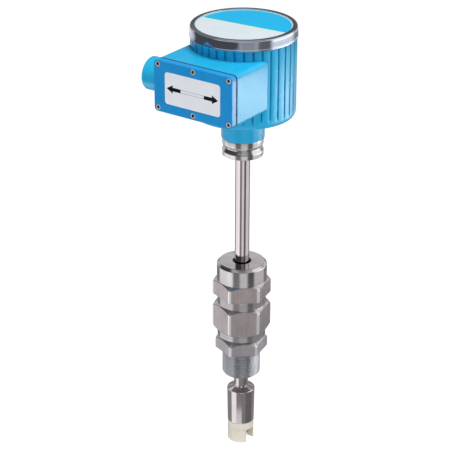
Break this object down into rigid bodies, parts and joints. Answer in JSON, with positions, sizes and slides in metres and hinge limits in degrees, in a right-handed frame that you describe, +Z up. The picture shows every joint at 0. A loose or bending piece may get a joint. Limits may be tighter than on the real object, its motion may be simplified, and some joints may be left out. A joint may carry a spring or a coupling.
{
  "type": "insertion flow meter",
  "caption": "Insertion flow meter: a slim stem slides and turns in a packed gland on a pipe-thread nipple, with a paddle impeller in the tip below and a fluted head with terminal box above.",
  "frame": {"origin": "on the stem's axis in the seat plane, the underside of the nipple's hexagon where the process thread begins", "axes": "+Z up the stem from the pipe to the head, -Y out of the terminal cover, the liquid flows along X"},
  "size_m": [0.1458, 0.1657, 0.5628],
  "materials": {
    "fitting_steel": "brushed and turned",
    "polished_steel": "polished",
    "screw_steel": "bright",
    "brass": "turned",
    "bezel_chrome": "mirror bright",
    "housing_blue": "semi-gloss",
    "dial_print": "gloss print",
    "label_white": "satin print",
    "black_rubber": "matte",
    "packing_white": "waxy",
    "cable_grey": "satin",
    "board_green": "lacquered",
    "terminal_grey": "satin",
    "potting_black": "satin",
    "tip_ivory": "slightly translucent",
    "impeller_ivory": "satin",
    "bush_grey": "satin",
    "magnet_dark": "sintered"
  },
  "bodies": {
    "fitting": {"process_nipple": "fitting_steel", "union_seal": "black_rubber", "gland_body": "fitting_steel"},
    "gland_follower": {"gland_follower": "brass"},
    "gland_nut": {"gland_nut": "fitting_steel"},
    "packing": {"packing_rings": "packing_white"},
    "meter": {"stem_tube": "polished_steel", "stem_collar": "polished_steel", "collar_seal": "black_rubber", "collar_locknut": "fitting_steel", "stem_grommet": "black_rubber", "signal_cable": "cable_grey", "head_housing": "housing_blue", "lid_seal": "black_rubber", "dial_plate": "dial_print", "bezel_ring": "bezel_chrome", "terminal_gasket": "black_rubber", "terminal_cover": "housing_blue", "terminal_cover_screws": "screw_steel", "flow_direction_label": "label_white", "circuit_board": "board_green", "board_screws": "screw_steel", "cable_plug": "terminal_grey", "terminal_block": "terminal_grey", "terminal_screws": "brass", "sensor_body": "polished_steel", "pickup_coil": "potting_black", "impeller_housing": "tip_ivory", "tip_seal": "black_rubber", "axle_bushes": "bush_grey"},
    "impeller": {"impeller": "impeller_ivory", "impeller_axle": "screw_steel", "impeller_magnets": "magnet_dark"}
  },
  "joints": [
    {"name": "gland_lift", "type": "slide", "parent": "fitting", "child": "gland_follower", "axis": [0, 0, 1], "range_m": [0, 0.002]},
    {"name": "gland_nut_turn", "type": "hinge", "parent": "gland_follower", "child": "gland_nut", "pos_m": [0, 0, 0.0765], "axis": [0, 0, 1], "range_deg": [0, 360]},
    {"name": "stem_turn", "type": "hinge", "parent": "fitting", "child": "packing", "pos_m": [0, 0, 0.0355], "axis": [0, 0, 1], "continuous": true},
    {"name": "stem_slide", "type": "slide", "parent": "packing", "child": "meter", "axis": [0, 0, 1], "range_m": [-0.14, 0.02]},
    {"name": "impeller_spin", "type": "hinge", "parent": "meter", "child": "impeller", "pos_m": [0, 0, -0.125], "axis": [0, 1, 0], "continuous": true}
  ],
  "couplings": [
    {"joint": "gland_lift", "follows": "gland_nut_turn", "m_per_rad": 0.00031831}
  ]
}
